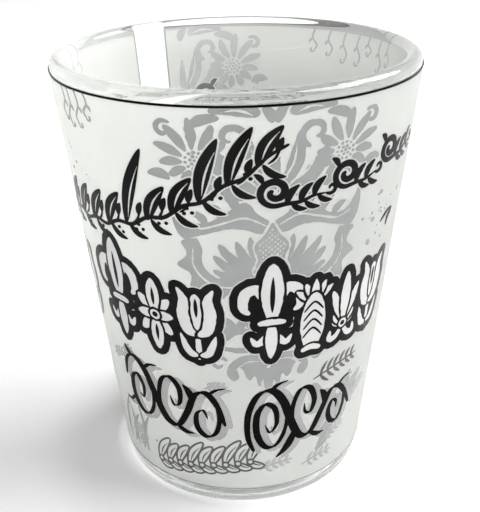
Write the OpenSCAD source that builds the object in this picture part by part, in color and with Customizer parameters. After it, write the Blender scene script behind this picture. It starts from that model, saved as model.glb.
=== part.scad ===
// Shot glass with a screen-printed wall.
// The glass stands on z = 0 with its axis on Z and its front towards -Y.
// Places in the artwork are [degrees round from the front, height in mm].

/* [Glass] */
// Height from the table to the top of the rim
height = 60.8; // [50:0.2:75]
// Outer diameter of the wall at the rim
mouth_d = 48.4; // [45:0.2:56]
// Outer diameter of the wall at the table
foot_d = 36; // [33:0.5:41]
// Wall thickness at the rim
rim_wall = 2.4; // [1.6:0.1:3]
// Wall thickness beside the inner floor
low_wall = 3.2; // [2.6:0.1:5]
// Thickness of the solid base
floor_t = 10; // [6:0.5:15]
// Rounding between the inner wall and the inner floor
floor_round = 4; // [2:0.5:6]
// Rounding of the foot's outer edge
heel_round = 0.8; // [0.4:0.1:1.5]
// Width of the flat ring that the glass stands on
foot_ring = 3; // [2:0.5:5]
// Depth of the hollow under the base
hollow_h = 1.2; // [0.6:0.1:2]

/* [Print] */
// Height of the print's lower edge
print_low = 2.7; // [2:0.1:4]
// Clear glass between the print and the top of the rim
print_below_rim = 1.4; // [1.4:0.1:3]
// Where the unprinted seam starts, in degrees round from the front
seam_start = 208.5; // [200:0.5:215]
// Width of the unprinted seam in degrees
seam_width = 12.8; // [6:0.2:20]
// Thickness of the translucent white coat
coat_t = 0.1; // [0.06:0.01:0.2]
// Thickness of one pass of ink
ink_t = 0.05; // [0.04:0.01:0.08]
// Width of the black line along the upper edge
top_line_w = 0.26; // [0.2:0.02:0.6]
// Width of the grey line along the lower edge and the seam
edge_line_w = 0.2; // [0.1:0.02:0.4]

/* [Artwork] */
// Axis of the front damask, in degrees round from the front
damask_axis = 10; // [0:1:20]
// Width of the heaviest black stroke
stroke_w = 1.6; // [1.2:0.1:2]
// Width of the bold ornaments' outline
outline_w = 0.8; // [0.5:0.1:1.2]
// How far a drop shadow lies to the right of its stroke
shadow_shift = 0.9; // [0.4:0.1:1.5]
// Angle of the pen's nib for the flourishes
nib = 18; // [-45:1:45]

/* [Hidden] */

foot_r = foot_d / 2;
mouth_r = mouth_d / 2;
// The rim is a full round, tangent to the outer and the inner wall
rim_round = rim_wall / 2;
rim_z = height - rim_round;
lean = atan((mouth_r - foot_r) / rim_z);
rim_r = mouth_r - rim_round / cos(lean);
floor_r = foot_r + tan(lean) * floor_t - low_wall;
inner_run = [rim_r - floor_r, rim_z - floor_t];
inner_lean = atan2(inner_run[0], inner_run[1]) - asin(rim_round / norm(inner_run));
print_top = height - print_below_rim;
coat_angle = 360 - seam_width;
coat_start = seam_start + seam_width - 90;
mid_r = (foot_r + mouth_r) / 2;
deg_mm = mid_r * PI / 180;

// Ink passes, counted from the glass: each lies on the one before
pass_1 = coat_t;
pass_2 = coat_t + ink_t;
pass_3 = coat_t + 2 * ink_t;

$fn = 96;
end_w = 0.12;
// Steps along a stroke, from the smallest leaf to a long stem
small_steps = 4;
damask_steps = 5;
leaf_steps = 6;
stem_steps = 14;
shadow_steps = 10;
outline_steps = 30;
fill_rows = 9;

GLASS = [0.86, 0.92, 0.9, 0.45];
COAT = [0.9, 0.91, 0.9];
WHITE = [0.96, 0.96, 0.95];
GREY = [0.68, 0.69, 0.69];
PALE = [0.76, 0.77, 0.77];
BLACK = [0.07, 0.07, 0.08];

// ---- Geometry of the wall ----

function wall_r(z) = foot_r + tan(lean) * z;

// A place in the artwork, lifted off the glass, as a point in space
function on_wall(p, lift) =
    let (r = wall_r(p[1]) + lift) [r * sin(p[0]), -r * cos(p[0]), p[1]];

// A place that lies v, in mm right and up, away from the place at
function beside(at, v) = [at[0] + v[0] / deg_mm, at[1] + v[1]];

// A conical skin of the wall between two heights and two lifts
module wall_skin(z0, z1, lift0, lift1, start, angle)
    rotate_extrude(start = start, angle = angle)
        polygon([[wall_r(z0) + lift0, z0], [wall_r(z0) + lift1, z0],
            [wall_r(z1) + lift1, z1], [wall_r(z1) + lift0, z1]]);

// ---- Strokes ----
// A stroke is [points of its middle line, greatest width, skew, fullness].
// Skew over 1 moves the belly towards the end; fullness near 0 keeps the width even.

function spline(a, b, c, d, t) = 0.5 * (2 * b + (c - a) * t
    + (2 * a - 5 * b + 4 * c - d) * t * t + (3 * b - a - 3 * c + d) * t * t * t);

function along(p, u) =
    let (m = len(p) - 1, i = max(0, min(m - 1, floor(u * m))))
    spline(p[max(0, i - 1)], p[i], p[i + 1], p[min(m, i + 2)], u * m - i);

function across(p, u) =
    let (d = along(p, min(1, u + 0.01)) - along(p, max(0, u - 0.01)), v = [d[0] * deg_mm, d[1]])
    [-v[1], v[0]] / norm(v);

function width_at(s, u) = max(end_w, s[1] * pow(sin(180 * pow(u, s[2])), s[3]));

// A broad nib writes thin along its edge; thin = 1 stands for a round pen
NIB_THIN = 0.3;
function nib_share(n, thin) = thin + (1 - thin) * abs(n * [cos(nib), sin(nib)]);

// The stroke's left and right edges at every step
function ribbon(s, steps, thin) = [for (k = [0:steps])
    let (u = k / steps, c = along(s[0], u), n = across(s[0], u),
        half = n * max(end_w, width_at(s, u) * nib_share(n, thin)) / 2)
    [beside(c, half), beside(c, -half)]];

function leaf(at, dir, size, bow, w) =
    let (t = [cos(dir), sin(dir)] * size, n = [-sin(dir), cos(dir)] * bow)
    [[for (f = [0, 0.33, 0.67, 1]) beside(at, t * f + n * sin(180 * f))], w, 0.85, 0.75];

function curl(at, from, turns, r0, r1, w) =
    let (m = ceil(abs(turns) * 7))
    [[for (k = [0:m]) let (f = k / m, a = from + 360 * turns * f, r = r0 + (r1 - r0) * f)
        beside(at, [cos(a), sin(a)] * r)], w, 0.7, 0.45];

function line(points, w) = [points, w, 1, 0.35];

function moved(s, by) = [[for (p = s[0]) beside(p, by)], s[1], s[2], s[3]];
function turned(s, deg) = [[for (p = s[0]) p + [deg, 0]], s[1], s[2], s[3]];
function mirrored(s, axis) = [[for (p = s[0]) [2 * axis - p[0], p[1]]], s[1], s[2], s[3]];
function all_turned(list, turns) = [for (t = turns) for (s = list) turned(s, t)];

// Closed shells for many strokes at once, all with the same number of steps
module strokes(list, steps, lift0, lift1, thin = 1) {
    ring = 4;
    size = ring * (steps + 1);
    points = [for (s = list) for (e = ribbon(s, steps, thin))
        each [on_wall(e[0], lift1), on_wall(e[1], lift1), on_wall(e[1], lift0), on_wall(e[0], lift0)]];
    sides = [for (j = [0:len(list) - 1]) for (k = [0:steps - 1]) for (q = [0:ring - 1])
        let (a = j * size + k * ring, b = a + ring, r = (q + 1) % ring)
        each [[a + q, b + q, b + r], [a + q, b + r, a + r]]];
    ends = [for (j = [0:len(list) - 1]) let (a = j * size, b = a + size - ring)
        each [[a, a + 1, a + 2], [a, a + 2, a + 3], [b, b + 2, b + 1], [b, b + 3, b + 2]]];
    polyhedron(points, concat(sides, ends));
}

// ---- Bold ornaments ----
// The right half of each outline from its top to its foot, [across, up] on a unit box

LILY = [[0, 1], [0.3, 0.9], [0.44, 0.76], [0.94, 0.7], [0.98, 0.58], [0.5, 0.5], [0.42, 0.4], [0.74, 0.3],
    [0.66, 0.2], [0.3, 0.13], [0, 0]];
ROSETTE = [[0, 1], [0.4, 0.9], [0.44, 0.76], [0.84, 0.7], [0.74, 0.6], [0.98, 0.5], [0.74, 0.4],
    [0.84, 0.3], [0.44, 0.24], [0.4, 0.1], [0, 0]];
TULIP = [[0, 1], [0.22, 0.9], [0.4, 0.82], [0.62, 0.9], [0.98, 0.96], [0.84, 0.76], [0.8, 0.58],
    [0.44, 0.42], [0.42, 0.34], [0.92, 0.26], [0.6, 0.12], [0, 0]];
PINE_BUD = [[0, 1], [0.5, 0.95], [0.98, 0.86], [0.6, 0.76], [0.8, 0.58], [0.92, 0.38], [0.72, 0.16],
    [0.66, 0.04], [0, 0]];
PALMETTE = [[0, 1], [0.34, 0.88], [0.9, 0.72], [0.84, 0.52], [0.46, 0.38], [0.42, 0.28], [0.94, 0.2],
    [0.62, 0.08], [0, 0]];

// [middle in degrees, height of the foot, half width, height, outline]
ORNAMENTS = [
    [-46.5, 25.9, 3.5, 14.7, LILY], [-30.2, 25.9, 2.55, 10.6, ROSETTE], [-14.6, 25.5, 2.5, 10.6, TULIP],
    [10.6, 25.5, 3.8, 14.2, LILY], [25.6, 25.5, 2.2, 10.9, PINE_BUD], [38.9, 25.6, 2.6, 10.6, PALMETTE],
    [53.6, 25.8, 2.4, 10.4, TULIP]];

function whole(half) = concat(half, [for (i = [len(half) - 2:-1:1]) [-half[i][0], half[i][1]]]);
function centre(o) = [o[0], o[1] + o[3] / 2];

// A point on an ornament's outline, in mm from its centre, at u from 0 to 1 round it
function round_at(o, p, u) =
    let (n = len(p), v = (u - floor(u)) * n, i = floor(v),
        q = spline(p[(i + n - 1) % n], p[i % n], p[(i + 1) % n], p[(i + 2) % n], v - i))
    [q[0] * o[2], (q[1] - 0.5) * o[3]];

// The outline moved outwards by d, as a place on the wall
function outline_at(o, p, u, d) =
    let (t = round_at(o, p, u + 0.004) - round_at(o, p, u - 0.004))
    beside(centre(o), round_at(o, p, u) + [-t[1], t[0]] / norm(t) * d);

module outlines(list, steps, w, lift0, lift1) {
    ring = 4;
    size = ring * steps;
    points = [for (o = list) let (p = whole(o[4])) for (k = [0:steps - 1])
        let (a = outline_at(o, p, k / steps, w / 2), b = outline_at(o, p, k / steps, -w / 2))
        each [on_wall(a, lift1), on_wall(b, lift1), on_wall(b, lift0), on_wall(a, lift0)]];
    polyhedron(points, [for (j = [0:len(list) - 1]) for (k = [0:steps - 1]) for (q = [0:ring - 1])
        let (a = j * size + k * ring, b = j * size + ((k + 1) % steps) * ring, r = (q + 1) % ring)
        each [[a + q, b + q, b + r], [a + q, b + r, a + r]]]);
}

// The white inside an outline: rows from its top to its foot, five points across each
module fills(list, rows, inset, lift0, lift1) {
    across_row = [-1, -0.5, 0, 0.5, 1];
    cols = len(across_row);
    slab = cols * (rows + 1);
    points = [for (o = list) let (p = whole(o[4])) for (lift = [lift1, lift0]) for (k = [0:rows])
        let (e = outline_at(o, p, k / rows / 2, -inset), half = max(end_w, (e[0] - o[0]) * deg_mm))
        for (f = across_row) on_wall(beside([o[0], e[1]], [half * f, 0]), lift)];
    polyhedron(points, [for (j = [0:len(list) - 1]) let (t = 2 * slab * j, b = t + slab) each concat(
        [for (k = [0:rows - 1]) for (c = [0:cols - 2])
            let (i = k * cols + c, n = i + cols)
            each [[t + i, t + i + 1, t + n + 1], [t + i, t + n + 1, t + n],
                [b + i, b + n + 1, b + i + 1], [b + i, b + n, b + n + 1]]],
        [for (k = [0:rows - 1]) for (side = [0, cols - 1])
            let (i = k * cols + side, n = i + cols)
            each side == 0 ? [[t + i, t + n, b + n], [t + i, b + n, b + i]]
                : [[t + i, b + n, t + n], [t + i, b + i, b + n]]],
        [for (c = [0:cols - 2]) for (row = [0, rows])
            let (i = row * cols + c)
            each row == 0 ? [[t + i, b + i, b + i + 1], [t + i, b + i + 1, t + i + 1]]
                : [[t + i, b + i + 1, b + i], [t + i, t + i + 1, b + i + 1]]])]);
}

// ---- Artwork ----
// The bands are printed on the front, again on the back, and in part next to the seam
BACK_TURN = 142;
SEAM_TURN = -127;
// The second damask ends at the seam, so only its left half is there
DAMASK_TURN = 193;

function turned_ornament(o, t) = [o[0] + t, o[1], o[2], o[3], o[4]];
BAND = concat([for (t = [0, BACK_TURN]) for (o = ORNAMENTS) turned_ornament(o, t)],
    [for (o = ORNAMENTS) if (o[0] > 0) turned_ornament(o, SEAM_TURN)]);

// Right half of the damask, in degrees from its axis
DAMASK_HALF = [
    leaf([7, 57.5], 15, 4, 0.5, 1.6), leaf([3.4, 50.4], 68, 6, -0.8, 1.6), leaf([6.6, 48.9], 38, 4.4, 0.7, 1),
    curl([13.4, 55], 200, -0.8, 1.6, 0.7, 0.7), leaf([12, 50.2], -15, 2.6, 0.4, 1.1),
    line([[1.6, 47], [9, 46.8], [18, 44.8], [26, 44], [30, 45.8]], 2.6),
    line([[27.6, 42.4], [26.6, 39.6], [23.4, 37.4], [19.4, 36.6]], 1.6),
    curl([13.4, 40.8], 60, -0.9, 3, 1.3, 0.9), leaf([21, 35.4], -58, 3.2, -0.4, 1.3),
    leaf([4.6, 36.4], -52, 5, 0.6, 1.2), leaf([8.6, 37], -14, 3, 0.4, 0.9),
    leaf([4, 30.2], -24, 3.6, 0.5, 1.3), line([[1.4, 27.2], [9, 27.6], [16, 27.2], [19, 25.4]], 0.8),
    curl([14.4, 23.4], 60, -0.7, 1.5, 0.6, 0.7), line([[2, 24.8], [5, 22.8], [8, 21.8], [10.6, 21.4]], 1),
    leaf([0.9, 23.4], -76, 3, 0.3, 0.8), leaf([0.8, 41], 88, 3.6, -0.4, 0.7),
    leaf([0.8, 40.2], -88, 4, 0.4, 0.7)];

// Large leaves low on the right, and tall thin ones low on the left
FALLEN_LEAVES = concat(
    [for (k = [0:3]) leaf([38 + 3.6 * k, 12.5 + 1.1 * k], 250 - 26 * k, 5.4 - 0.5 * k, 0.9, 2.3 - 0.2 * k)],
    [for (k = [0:2]) leaf([47 + 2.2 * k, 14.6 - 0.4 * k], 84 - 30 * k, 4.6, 0.7, 1.9)],
    [for (k = [0:4]) leaf([-61 + 3.6 * k, 5.2], 78 + 9 * (k % 2), 8.6 - 1.1 * (k % 3), 0.9, 0.75)]);

// Petals round a daisy's middle, longest at the top
DAISY = [for (k = [0:8]) let (a = -40 + 27.5 * k)
    leaf(beside([21.5, 53], [cos(a), sin(a)] * 1.3), a, 1.7 + sin(a + 40), 0, 0.7)];

// A rising vine on a curved foot line: leaves over the stem, small leaves under it and buds between
VINE_START = [-70, 42.3];
VINE_STEP = 8.4;
VINE_RISE = 0.0022;
// Length and slant of each leaf, from the low end to the high one
VINE_LEAVES = [for (k = [0:9]) k == 4 ? [10.6, 72] : k == 7 ? [8, 74] : k == 8 ? [7.4, 70] : [5.2, 62]];

function vine_at(a) = [a, VINE_START[1] + VINE_RISE * pow(max(0, a - VINE_START[0] - VINE_STEP), 2)];
function vine_foot(k) = vine_at(VINE_START[0] + VINE_STEP * k);

VINE_STEM = [line([for (k = [0:9]) vine_foot(k)], 0.6)];
VINE = concat(
    [for (k = [0:9]) leaf(vine_foot(k), VINE_LEAVES[k][1], VINE_LEAVES[k][0], 0.4, stroke_w)],
    [for (k = [0:9]) leaf(beside(vine_foot(k), [0.5, -0.3]), -34, 2.8, -0.4, 0.85)],
    [for (k = [0:9]) leaf(beside(vine_foot(k), [1.9, 1.2]), 70, 2, 0.1, 0.8)]);

// A spray: a curl whose foot runs on as a stem with pairs of leaves
SPRAY_PITCH = [1.5, 0.3];

function spray(at, n, r) =
    let (foot = beside(at, [1.4, 0.1 - r]))
    concat([curl(at, 272 - 360 * 0.8, 0.8, r * 0.7, r, 0.75)],
        [for (i = [0:n - 1]) leaf(beside(foot, SPRAY_PITCH * i), 60, r * 1.45, 0.35, 0.85)],
        [for (i = [0:n - 1]) leaf(beside(foot, SPRAY_PITCH * i + [0.4, -0.2]), -28, r * 1.1, -0.2, 0.7)]);

SHORT_SPRAYS = concat(spray([10.4, 49], 3, 1.75), spray([33, 50], 2, 1.7));
SPRAYS = concat(SHORT_SPRAYS, spray([51.6, 51.4], 3, 1.6));
// Away from the front the sprays lie lower
SPRAY_DROP = [0, -2.4];

// Pen flourishes: a waving stem with a curl in each bend, and leaves where the curls leave it
STEM_W = 1.3;
CURL_W = 1;
STEMS_LEFT = [
    line([[-52.6, 18.4], [-50.4, 21.4], [-45.4, 22.6], [-40, 21], [-35.8, 17.2], [-31.6, 13.9], [-26.4, 13.4],
        [-21.8, 16], [-18, 19.2], [-13.4, 19.8], [-9.4, 17.8], [-6.6, 14.4]], STEM_W),
    line([[-37.4, 18.6], [-37.6, 15.6], [-40.6, 13.5], [-45.4, 13.3], [-49, 15.4], [-48.6, 18.4], [-45, 19.6],
        [-42.2, 18], [-43, 16], [-45.2, 16.4]], CURL_W),
    line([[-32.4, 14.4], [-34, 17.4], [-31.8, 20.6], [-27.6, 21.4], [-24.2, 19.8], [-24.6, 17.4],
        [-27.2, 16.8], [-28.6, 18.2]], CURL_W),
    line([[-10, 18.4], [-8.8, 15.4], [-10.6, 13], [-14.6, 12.3], [-18, 13.8], [-17.8, 16], [-15, 16.8],
        [-13.4, 15.4]], CURL_W)];
STEMS_RIGHT = [
    line([[4.6, 9.8], [2.2, 12.4], [2.4, 16.4], [6, 19.6], [11.4, 20.2], [16.2, 18], [19.8, 14.2], [24, 11.4],
        [29.2, 11.6], [33.4, 14.6], [37.2, 17.4], [41.8, 17.6], [46.2, 15.8], [50.2, 13.2]], STEM_W),
    line([[17.6, 16.8], [17.4, 13.4], [14, 10.7], [9.2, 10.5], [5.8, 12.9], [5.8, 16.2], [9, 18], [12.8, 17],
        [13.6, 14.4], [11, 13], [9, 14.4]], CURL_W),
    line([[20.6, 13.6], [20, 16.8], [22.6, 19.4], [26.8, 19.4], [29.4, 17.2], [28.2, 15.2], [25.6, 15.4],
        [25, 16.9]], CURL_W),
    line([[45.4, 16.4], [46, 13.6], [43.2, 11.5], [39.2, 11.9], [37.4, 13.7], [38.8, 15.4], [41.4, 15],
        [41.6, 13.8]], CURL_W)];
LEAVES_LEFT = [
    leaf([-50, 15], 205, 2.6, 0.5, 1.1), leaf([-40.4, 21.2], 28, 3, 0.4, 1.1),
    leaf([-27, 13.4], -18, 3, -0.4, 1.1), leaf([-19.6, 18], 112, 2.9, -0.4, 1.1),
    leaf([-12.6, 19.6], 26, 2.8, 0.3, 1)];
LEAVES_RIGHT = [
    leaf([21.6, 12.8], -122, 5.4, 0.5, 1.6), leaf([10.6, 20], 30, 3, 0.4, 1.1),
    leaf([28.6, 11.4], -16, 3, -0.4, 1.1), leaf([34.6, 15.6], 110, 2.9, -0.4, 1.1),
    leaf([41, 17.6], 24, 2.8, 0.3, 1)];

// The left flourish is not repeated next to the seam
function on_each_band(left, right) =
    concat(all_turned(concat(left, right), [0, BACK_TURN]), all_turned(right, [SEAM_TURN]));

PEN_STEMS = on_each_band(STEMS_LEFT, STEMS_RIGHT);
PEN_LEAVES = on_each_band(LEAVES_LEFT, LEAVES_RIGHT);

// A garland: a long leaf up and a short leaf down at each step along a slanting line
GARLAND_START = [-39, 5.6];
GARLAND_STEP = [5.2, 0.3];
GARLAND = [for (k = [0:8]) let (foot = GARLAND_START + GARLAND_STEP * k)
    each [leaf(beside(foot, [0.2, 0.3]), 60, 4, 0.3, 1.2),
        leaf(beside(foot, [0.3, -0.3]), -24, 2.3, -0.2, 0.9)]];

// Tendrils: thin hooked shoots that hang from the upper line
TENDRIL_PLACES = [-59, -55.5, -51, -46.5, 108, 114, 121, 127, 134, 141, 148, -104, -97];
TENDRIL_TOP = 59;
TENDRILS = [for (k = [0:len(TENDRIL_PLACES) - 1])
    let (a = TENDRIL_PLACES[k], foot = TENDRIL_TOP - 3.4 - sin(150 * k))
    line([[a, TENDRIL_TOP], [a + 1.2, foot + 1.6], [a - 0.8, foot], [a + 1.4, foot - 0.6],
        [a + 1.8, foot + 0.4]], 0.3)];

// Sprigs: a thin stem with pairs of small leaves, [place, direction, length]
SPRIG_PLACES = [[[-61, 20.4], 24, 4], [[28, 20.6], 10, 8.2], [[7, 6.2], 12, 5.4], [[26, 5.6], 6, 6],
    [[-58, 7.4], 24, 4.6], [[36, 8.6], 20, 5], [[-104, 50], 35, 7], [[-96, 20], 20, 7], [[-124, 34], 60, 7],
    [[-88, 33], 40, 6]];
SPRIG_PAIRS = 2;
SPRIGS = [for (g = SPRIG_PLACES)
    let (t = [cos(g[1]), sin(g[1])], n = [-t[1], t[0]])
    each concat([leaf(g[0], g[1], g[2], 0, 0.3)],
        [for (i = [1:SPRIG_PAIRS]) for (side = [-1, 1])
            leaf(beside(g[0], t * g[2] * i / (SPRIG_PAIRS + 1) + n * 0.4 * side), g[1] + 55 * side,
                1.5, 0, 0.5)])];

// Spatter: small round drops, spread by the golden angle
GOLDEN = 137.5;
SPATTER = [for (i = [0:17])
    let (a = (i * GOLDEN) % 300 - 100, z = 41.4 + 1.6 * sin(77 * i), d = 0.4 + 0.2 * (i % 3))
    leaf([a, z], 0, d, 0, d)];

// ---- Sub-parts ----

// Pressed glass: leaning wall, full-round rim, solid base and a shallow hollow under it
module glass_body() {
    heel = [wall_r(heel_round) - heel_round / cos(lean), heel_round];
    rim = [rim_r, rim_z];
    inside = [floor_r + tan(inner_lean) * floor_round - floor_round / cos(inner_lean), floor_t + floor_round];
    out_dir = [cos(lean), -sin(lean)];
    in_dir = [cos(inner_lean), -sin(inner_lean)];
    hollow_r = heel[0] - foot_ring;
    dome_r = (hollow_r * hollow_r + hollow_h * hollow_h) / (2 * hollow_h);
    color(GLASS) rotate_extrude() difference() {
        union() {
            polygon([[0, 0], [heel[0], 0], heel + out_dir * heel_round, rim + out_dir * rim_round,
                rim - in_dir * rim_round, inside + in_dir * floor_round, [inside[0], floor_t], [0, floor_t]]);
            translate(heel) circle(heel_round);
            translate(rim) circle(rim_round);
        }
        translate(inside) circle(floor_round);
        translate([0, hollow_h - dome_r]) circle(dome_r, $fn = 720);
    }
}

module white_coat() color(COAT) wall_skin(print_low, print_top, 0, pass_1, coat_start, coat_angle);

module top_line() color(BLACK)
    wall_skin(print_top - top_line_w, print_top, pass_1, pass_2, coat_start, coat_angle);

// One line round the lower edge and one up each side of the seam
module edge_line() {
    line_angle = edge_line_w / deg_mm;
    color(GREY) {
        wall_skin(print_low, print_low + edge_line_w, pass_1, pass_2, coat_start, coat_angle);
        for (start = [coat_start, coat_start + coat_angle - line_angle])
            wall_skin(print_low + edge_line_w, print_top - top_line_w, pass_1, pass_2, start, line_angle);
    }
}

module grey_damask() {
    right_half = concat(DAMASK_HALF, DAISY);
    left_half = [for (s = right_half) mirrored(s, 0)];
    both_halves = concat(right_half, left_half);
    front = concat(all_turned(both_halves, [damask_axis]), FALLEN_LEAVES);
    color(GREY) strokes(front, damask_steps, pass_1, pass_2);
    color(GREY) strokes(all_turned(left_half, [damask_axis + DAMASK_TURN]), damask_steps, pass_1, pass_2);
}

module fine_sprigs() color(PALE) strokes(concat(SPRIGS, TENDRILS), small_steps, pass_1, pass_2);

module drop_shadows() color(PALE)
    strokes([for (s = PEN_STEMS) moved(s, [shadow_shift, -0.35])], shadow_steps, pass_1, pass_2, NIB_THIN);

module ornament_fills() color(WHITE) fills(BAND, fill_rows, outline_w / 2, pass_2, pass_3);

module leaf_garland() color(GREY) strokes(GARLAND, small_steps, pass_1, pass_2);

module ink_spatter() color(GREY) strokes(SPATTER, small_steps, pass_1, pass_2);

module vine_scrolls() color(BLACK) {
    strokes(VINE, leaf_steps, pass_2, pass_3);
    strokes(VINE_STEM, stem_steps, pass_2, pass_3);
}

module leaf_sprays() color(BLACK) {
    lower = concat(all_turned(SPRAYS, [BACK_TURN]), all_turned(SHORT_SPRAYS, [SEAM_TURN]));
    strokes(concat(SPRAYS, [for (s = lower) moved(s, SPRAY_DROP)]), small_steps, pass_2, pass_3);
}

module ornament_outlines() color(BLACK) outlines(BAND, outline_steps, outline_w, pass_2, pass_3);

// A dark leaf in the middle of each bold ornament
module ornament_cores() color(BLACK)
    strokes([for (o = BAND) leaf([o[0], o[1] + o[3] * 0.28], 90, o[3] * 0.44, 0, o[2] * 0.3)],
        small_steps, pass_3, pass_3 + ink_t);

module pen_flourishes() color(BLACK) {
    strokes(PEN_STEMS, stem_steps, pass_2, pass_3, NIB_THIN);
    strokes(PEN_LEAVES, small_steps, pass_2, pass_3);
}

glass_body();
white_coat();
top_line();
edge_line();
grey_damask();
fine_sprigs();
drop_shadows();
ornament_fills();
leaf_garland();
ink_spatter();
vine_scrolls();
leaf_sprays();
ornament_outlines();
ornament_cores();
pen_flourishes();
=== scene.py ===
"""Looks of the printed shot glass: clear pressed glass, a translucent white coat and ink ornaments."""
import math

import bmesh
import bpy
import numpy as np
from mathutils import Matrix, Vector
from mathutils.geometry import delaunay_2d_cdt


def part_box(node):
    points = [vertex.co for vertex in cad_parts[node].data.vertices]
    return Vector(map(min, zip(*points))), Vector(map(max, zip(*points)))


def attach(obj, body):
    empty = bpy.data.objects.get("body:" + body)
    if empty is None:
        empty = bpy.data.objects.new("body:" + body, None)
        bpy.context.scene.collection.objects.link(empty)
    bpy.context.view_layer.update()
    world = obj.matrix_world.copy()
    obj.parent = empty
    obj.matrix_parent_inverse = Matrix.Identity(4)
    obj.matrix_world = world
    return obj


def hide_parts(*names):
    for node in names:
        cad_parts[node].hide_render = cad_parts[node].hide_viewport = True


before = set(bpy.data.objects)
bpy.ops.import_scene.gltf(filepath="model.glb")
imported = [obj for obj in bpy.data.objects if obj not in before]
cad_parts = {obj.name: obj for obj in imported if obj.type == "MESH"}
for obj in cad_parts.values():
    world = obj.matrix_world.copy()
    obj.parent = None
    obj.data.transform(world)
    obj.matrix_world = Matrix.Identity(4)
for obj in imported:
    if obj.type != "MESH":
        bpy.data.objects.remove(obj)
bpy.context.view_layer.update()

MM = 0.001

# ---- The glass, in mm, as its CAD node has it ----
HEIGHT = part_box("glass_body")[1][2] / MM
MOUTH_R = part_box("glass_body")[1][0] / MM
FOOT_R = 18.0
RIM_ROUND = 1.2
LOW_WALL = 3.2
FLOOR_T = 10.0
FLOOR_ROUND = 4.0
HEEL_ROUND = 0.8
FOOT_RING = 3.0
HOLLOW_H = 1.2
PRINT_LOW = 2.7
PRINT_TOP = HEIGHT - 1.4
TOP_LINE_W = 0.26
EDGE_LINE_W = 0.2
SEAM_START, SEAM_WIDTH = 208.5, 12.8

# ---- Layers of the print, in mm off the glass. Each starts inside the one below it, as ink keys in. ----
COAT_IN, COAT_OUT = -0.02, 0.10
INK_IN = -0.03
TOP_LINE_OUT, EDGE_LINE_IN, EDGE_LINE_OUT = 0.14, 0.07, 0.135

RIM_Z = HEIGHT - RIM_ROUND
LEAN = math.atan((MOUTH_R - FOOT_R) / RIM_Z)
RIM_R = MOUTH_R - RIM_ROUND / math.cos(LEAN)
FLOOR_R = FOOT_R + math.tan(LEAN) * FLOOR_T - LOW_WALL
RUN = (RIM_R - FLOOR_R, RIM_Z - FLOOR_T)
INNER_LEAN = math.atan2(*RUN) - math.asin(RIM_ROUND / math.hypot(*RUN))


def wall_r(z):
    """Outer radius of the glass at height z, in mm."""
    return FOOT_R + math.tan(LEAN) * z


# ---- Camera: close to the glass and a little above its rim. Place in m, turns in radians, lens in mm. ----

CAMERA_PLACE = Vector((0.0004, -0.1108, 0.0829))
PITCH, ROLL, YAW = 0.4429, -0.0183, -0.0030
LENS, SENSOR, CLIP_START = 58.8, 36, 0.005


def make_camera():
    ahead = Vector((math.sin(YAW) * math.cos(PITCH), math.cos(YAW) * math.cos(PITCH), -math.sin(PITCH)))
    right = Vector((math.cos(YAW), -math.sin(YAW), 0))
    up = right.cross(ahead)
    side = right * math.cos(ROLL) + up * math.sin(ROLL)
    top = up * math.cos(ROLL) - right * math.sin(ROLL)
    data = bpy.data.cameras.new("camera")
    data.sensor_width = SENSOR
    data.lens = LENS
    data.clip_start = CLIP_START
    cam = bpy.data.objects.new("camera", data)
    cam.matrix_world = Matrix.Translation(CAMERA_PLACE) @ Matrix((side, top, -ahead)).transposed().to_4x4()
    bpy.context.collection.objects.link(cam)
    bpy.context.scene.camera = cam


# ---- Mesh helpers ----

def make_object(name, verts, faces, material, sharp=35):
    """A mesh object, smooth except over edges sharper than the angle sharp."""
    mesh = bpy.data.meshes.new(name)
    mesh.from_pydata([tuple(v) for v in verts], [], faces)
    mesh.validate()
    bm = bmesh.new()
    bm.from_mesh(mesh)
    bmesh.ops.recalc_face_normals(bm, faces=bm.faces)
    bm.to_mesh(mesh)
    bm.free()
    mesh.shade_smooth()
    mesh.set_sharp_from_angle(angle=math.radians(sharp))
    mesh.materials.append(material)
    obj = bpy.data.objects.new(name, mesh)
    bpy.context.collection.objects.link(obj)
    return obj


def stand_for(obj, node):
    """Puts a piece in the place of its CAD node."""
    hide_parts(node)
    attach(obj, "root")


def arc(centre, radius, start, end, n):
    """Points (r, z) on a round stretch, angles in degrees from +r towards +z."""
    return [(centre[0] + radius * math.cos(math.radians(start + (end - start) * k / n)),
             centre[1] + radius * math.sin(math.radians(start + (end - start) * k / n)))
            for k in range(n + 1)]


def lathe(name, profile, material, start=0.0, sweep=360.0, steps=192, sharp=35):
    """A closed profile (r, z) in mm turned about Z, from start over sweep degrees round from the front."""
    whole = sweep >= 360
    rings = steps if whole else steps + 1
    m = len(profile)
    verts, faces = [], []
    for k in range(rings):
        a = math.radians(start + sweep * k / steps)
        verts += [(r * math.sin(a) * MM, -r * math.cos(a) * MM, z * MM) for r, z in profile]
    for k in range(steps):
        a, b = k * m, ((k + 1) % rings) * m
        faces += [(a + i, b + i, b + (i + 1) % m, a + (i + 1) % m) for i in range(m)]
    if not whole:
        faces += [tuple(range(m)), tuple((rings - 1) * m + i for i in reversed(range(m)))]
    return make_object(name, verts, faces, material, sharp)


# ---- The unrolled wall: degrees round from the front, and mm up ----

DEG_MM = 0.3683
Z_LOW, Z_TOP = 2.9, 59.14
A_LOW, A_HIGH = -138.5, 208.3


# ---- Strokes. Each is (points, width, skew, fullness): skew moves the widest place along it, and a low
# fullness leaves its ends blunt. Widths and lengths are in mm. ----

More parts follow.
